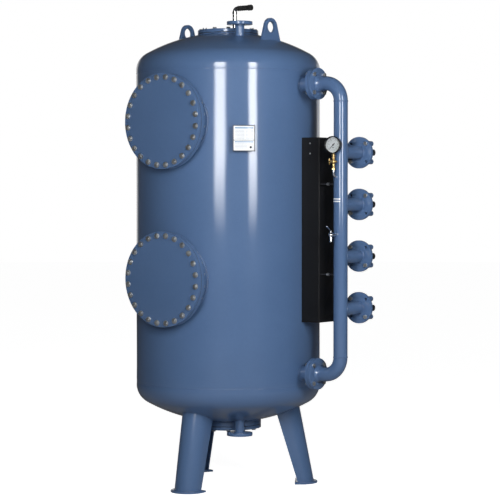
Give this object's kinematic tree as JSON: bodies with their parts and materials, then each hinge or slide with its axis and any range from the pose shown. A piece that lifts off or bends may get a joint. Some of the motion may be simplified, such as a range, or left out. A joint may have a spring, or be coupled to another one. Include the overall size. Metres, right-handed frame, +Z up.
{
  "type": "pressure sand filter tank",
  "caption": "Upright steel pressure vessel for filter sand, on three legs, with bolted manways, an outside pipe header with butterfly valves, gauge and vent.",
  "frame": {"origin": "on the tank's axis at floor level, the centre of the circle of three anchor holes", "axes": "+Z up along the tank's axis, manways facing -Y, outside pipe header at +X, valve outlets towards +Y"},
  "size_m": [1.587, 1.2975, 3.114],
  "materials": {
    "blue_paint": "gloss enamel",
    "zinc_bolts": "zinc plated, satin",
    "black_rubber": "matte",
    "black_cover": "semi-gloss powder coat",
    "black_disc": "black coated",
    "grey_actuator": "anodised",
    "black_case": "gloss",
    "white_dial": "matte",
    "clear_glass": "clear",
    "black_pointer": "matte black",
    "yellow_brass": "polished",
    "bright_chrome": "polished",
    "black_plastic": "satin",
    "plate_frame": "satin",
    "white_plate": "printed, no lettering",
    "stainless": "satin",
    "strainer_plastic": "natural",
    "gravel": "coarse",
    "sand": "fine"
  },
  "bodies": {
    "vessel": {"shell": "blue_paint", "top_head": "blue_paint", "bottom_head": "blue_paint", "front_leg": "blue_paint", "right_leg": "blue_paint", "rear_leg": "blue_paint", "foot_plates": "blue_paint", "lifting_lugs": "blue_paint", "upper_manway_neck": "blue_paint", "lower_manway_neck": "blue_paint", "upper_manway_cover": "blue_paint", "lower_manway_cover": "blue_paint", "top_hand_hole_pad": "blue_paint", "top_hand_hole_cover": "blue_paint", "bottom_hand_hole_pad": "blue_paint", "bottom_hand_hole_cover": "blue_paint", "top_nozzle": "blue_paint", "drain_nozzle": "blue_paint", "shell_nozzles": "blue_paint", "upper_elbow": "blue_paint", "lower_elbow": "blue_paint", "header_pipe": "blue_paint", "header_blank": "blue_paint", "branch_stubs": "blue_paint", "valve_bodies": "blue_paint", "manway_bolts": "zinc_bolts", "manway_nuts": "zinc_bolts", "flange_bolts": "zinc_bolts", "flange_nuts": "zinc_bolts", "hand_hole_bolts": "zinc_bolts", "cover_standoffs": "zinc_bolts", "manway_gaskets": "black_rubber", "hand_hole_gaskets": "black_rubber", "nozzle_gaskets": "black_rubber", "valve_seats": "black_rubber", "valve_cover": "black_cover", "actuators": "grey_actuator", "gauge_case": "black_case", "gauge_dial": "white_dial", "gauge_glass": "clear_glass", "gauge_cock": "yellow_brass", "siphon_tube": "bright_chrome", "tap_body": "bright_chrome", "vent_pipe": "bright_chrome", "vent_valve": "black_plastic", "nameplate_bracket": "plate_frame", "nameplate": "white_plate", "nozzle_plate": "stainless", "inlet_distributor": "stainless", "strainers": "strainer_plastic", "gravel_bed": "gravel", "sand_bed": "sand"},
    "valve_disc_1": {"valve_disc_1": "black_disc"},
    "valve_disc_2": {"valve_disc_2": "black_disc"},
    "valve_disc_3": {"valve_disc_3": "black_disc"},
    "valve_disc_4": {"valve_disc_4": "black_disc"},
    "gauge_pointer": {"gauge_pointer": "black_pointer"},
    "gauge_cock_handle": {"gauge_cock_handle": "yellow_brass"},
    "tap_lever": {"tap_lever": "bright_chrome"},
    "vent_knob": {"vent_knob": "black_plastic"}
  },
  "joints": [
    {"name": "valve_1_turn", "type": "hinge", "parent": "vessel", "child": "valve_disc_1", "pos_m": [0.887, 0.241, 1.168], "axis": [1, 0, 0], "range_deg": [0, 90]},
    {"name": "valve_2_turn", "type": "hinge", "parent": "vessel", "child": "valve_disc_2", "pos_m": [0.887, 0.241, 1.496], "axis": [1, 0, 0], "range_deg": [0, 90]},
    {"name": "valve_3_turn", "type": "hinge", "parent": "vessel", "child": "valve_disc_3", "pos_m": [0.887, 0.241, 1.824], "axis": [1, 0, 0], "range_deg": [0, 90]},
    {"name": "valve_4_turn", "type": "hinge", "parent": "vessel", "child": "valve_disc_4", "pos_m": [0.887, 0.241, 2.152], "axis": [1, 0, 0], "range_deg": [0, 90]},
    {"name": "gauge_pointer_swing", "type": "hinge", "parent": "vessel", "child": "gauge_pointer", "pos_m": [0.887, -0.08, 2.195], "axis": [-0.1736, 0.9848, 0], "range_deg": [0, 270]},
    {"name": "gauge_cock_turn", "type": "hinge", "parent": "vessel", "child": "gauge_cock_handle", "pos_m": [0.887, -0.08, 2.091], "axis": [1, 0, 0], "range_deg": [0, 90]},
    {"name": "tap_lever_turn", "type": "hinge", "parent": "vessel", "child": "tap_lever", "pos_m": [0.887, -0.108, 1.637], "axis": [0, 0, 1], "range_deg": [-90, 0]},
    {"name": "vent_knob_turn", "type": "hinge", "parent": "vessel", "child": "vent_knob", "pos_m": [0.076, 0, 3.095], "axis": [1, 0, 0], "range_deg": [0, 180]}
  ]
}
